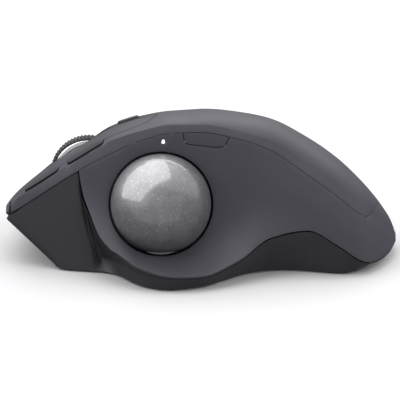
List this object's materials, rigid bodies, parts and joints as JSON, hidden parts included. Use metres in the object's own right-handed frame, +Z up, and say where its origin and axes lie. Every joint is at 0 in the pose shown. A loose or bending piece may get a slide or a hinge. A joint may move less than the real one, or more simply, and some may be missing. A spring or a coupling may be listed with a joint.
{
  "type": "trackball mouse",
  "caption": "Thumb-operated trackball mouse with a sculpted right-hand body that tilts on a flat plate, a scroll wheel, click buttons and side keys.",
  "frame": {"origin": "centre of the bounding box in plan, on the table plane that the rubber pad rests on", "axes": "+Y towards the nose, +Z up, the thumb side with the ball faces -X"},
  "size_m": [0.0991, 0.1318, 0.0507],
  "materials": {
    "graphite_shell": "soft matte with a fine grain",
    "graphite_base": "moulded, slightly rougher than the shell",
    "black_keys": "satin",
    "ball_resin": "polished pearl grey resin with fine glitter",
    "black_rubber": "matte moulded rubber",
    "bright_metal": "polished",
    "steel": "plain sheet and turned steel",
    "inner_plastic": "plain moulding",
    "circuit_board": "green solder mask",
    "white_lens": "translucent white",
    "clear_lens": "clear lens",
    "ceramic": "polished bearing",
    "battery_foil": "crimped foil pouch",
    "magnet": "nickel plate"
  },
  "bodies": {
    "base": {"base_plate": "steel", "plate_pad": "black_rubber"},
    "case": {"bottom_case": "graphite_base", "thumb_panel": "graphite_shell", "palm_cover": "graphite_shell", "center_spine": "black_keys", "hinge_barrel": "magnet", "case_screw_1": "steel", "case_screw_2": "steel", "case_screw_3": "steel", "case_screw_4": "steel", "ball_socket": "inner_plastic", "socket_bearing_1": "ceramic", "socket_bearing_2": "ceramic", "socket_bearing_3": "ceramic", "sensor_lens": "clear_lens", "sensor_chip": "inner_plastic", "sensor_board": "circuit_board", "left_switch": "inner_plastic", "left_switch_board": "circuit_board", "right_switch": "inner_plastic", "right_switch_board": "circuit_board", "side_key_board": "circuit_board", "back_switch": "inner_plastic", "forward_switch": "inner_plastic", "main_board": "circuit_board", "processor_chip": "inner_plastic", "radio_chip": "inner_plastic", "charger_chip": "inner_plastic", "usb_port": "steel", "usb_board": "circuit_board", "battery": "battery_foil", "battery_plug": "white_lens", "battery_lead_1": "black_rubber", "battery_lead_2": "black_rubber", "channel_switch": "inner_plastic", "channel_light_1": "white_lens", "channel_light_2": "white_lens", "middle_click_switch": "inner_plastic", "status_light_pipe": "white_lens", "precision_switch": "inner_plastic", "power_switch": "inner_plastic"},
    "ball": {"trackball": "ball_resin"},
    "left_key": {"left_button": "graphite_shell"},
    "left_press": {"left_plunger": "black_keys"},
    "right_key": {"right_button": "graphite_shell"},
    "right_press": {"right_plunger": "black_keys"},
    "back_key": {"back_button": "black_keys"},
    "forward_key": {"forward_button": "black_keys"},
    "channel_key": {"channel_button": "black_keys"},
    "precision_key": {"precision_button": "graphite_shell"},
    "wheel_carrier": {"wheel_frame": "inner_plastic"},
    "wheel_tilt": {"wheel_cradle": "inner_plastic", "wheel_encoder": "inner_plastic"},
    "wheel": {"wheel_tire": "black_rubber", "wheel_rim": "bright_metal", "wheel_axle": "steel", "encoder_disc": "inner_plastic"},
    "power_key": {"power_knob": "black_keys"}
  },
  "joints": [
    {"name": "case_tilt", "type": "hinge", "parent": "base", "child": "case", "pos_m": [0.008, 0, 0.0038], "axis": [0, 1, 0], "range_deg": [0, 20]},
    {"name": "ball_roll", "type": "hinge", "parent": "case", "child": "ball", "pos_m": [-0.03, 0.0136, 0.0248], "axis": [0, 1, 0], "continuous": true},
    {"name": "left_click", "type": "hinge", "parent": "case", "child": "left_key", "pos_m": [-0.011, 0.019, 0.046], "axis": [-1, 0, 0], "range_deg": [0, 0.9], "stiffness_Nm_per_rad": 1, "springref_deg": -0.57},
    {"name": "left_plunge", "type": "slide", "parent": "case", "child": "left_press", "axis": [0, 0, -1], "range_m": [0, 0.0006]},
    {"name": "right_click", "type": "hinge", "parent": "case", "child": "right_key", "pos_m": [0.024, 0.019, 0.04], "axis": [-1, 0, 0], "range_deg": [0, 0.9], "stiffness_Nm_per_rad": 1.2, "springref_deg": -0.69},
    {"name": "right_plunge", "type": "slide", "parent": "case", "child": "right_press", "axis": [0, 0, -1], "range_m": [0, 0.0005]},
    {"name": "back_press", "type": "slide", "parent": "case", "child": "back_key", "axis": [0.038, -0.5461, -0.8368], "range_m": [0, 0.0004], "stiffness_N_per_m": 1000, "springref_m": -0.0003},
    {"name": "forward_press", "type": "slide", "parent": "case", "child": "forward_key", "axis": [-0.0018, -0.5641, -0.8257], "range_m": [0, 0.0004], "stiffness_N_per_m": 1000, "springref_m": -0.0003},
    {"name": "channel_press", "type": "slide", "parent": "case", "child": "channel_key", "axis": [-0.2562, -0.3107, -0.9153], "range_m": [0, 0.00035], "stiffness_N_per_m": 1000, "springref_m": -0.0003},
    {"name": "precision_press", "type": "slide", "parent": "case", "child": "precision_key", "axis": [0.9744, 0, -0.2248], "range_m": [0, 0.00035], "stiffness_N_per_m": 1000, "springref_m": -0.0003},
    {"name": "wheel_press", "type": "hinge", "parent": "case", "child": "wheel_carrier", "pos_m": [0.002, 0.0194, 0.0074], "axis": [-1, 0, 0], "range_deg": [0, 1], "stiffness_Nm_per_rad": 0.8, "springref_deg": -1.15},
    {"name": "wheel_side_tilt", "type": "hinge", "parent": "wheel_carrier", "child": "wheel_tilt", "pos_m": [0.002, 0.0381, 0.0094], "axis": [0, 1, 0], "range_deg": [-2, 2], "stiffness_Nm_per_rad": 0.4},
    {"name": "wheel_spin", "type": "hinge", "parent": "wheel_tilt", "child": "wheel", "pos_m": [0.002, 0.0381, 0.0248], "axis": [1, 0, 0], "continuous": true},
    {"name": "power_slide", "type": "slide", "parent": "case", "child": "power_key", "axis": [1, 0, 0], "range_m": [0, 0.0024]}
  ],
  "couplings": [
    {"joint": "left_plunge", "follows": "left_click", "m_per_rad": 0.031},
    {"joint": "right_plunge", "follows": "right_click", "m_per_rad": 0.022}
  ]
}
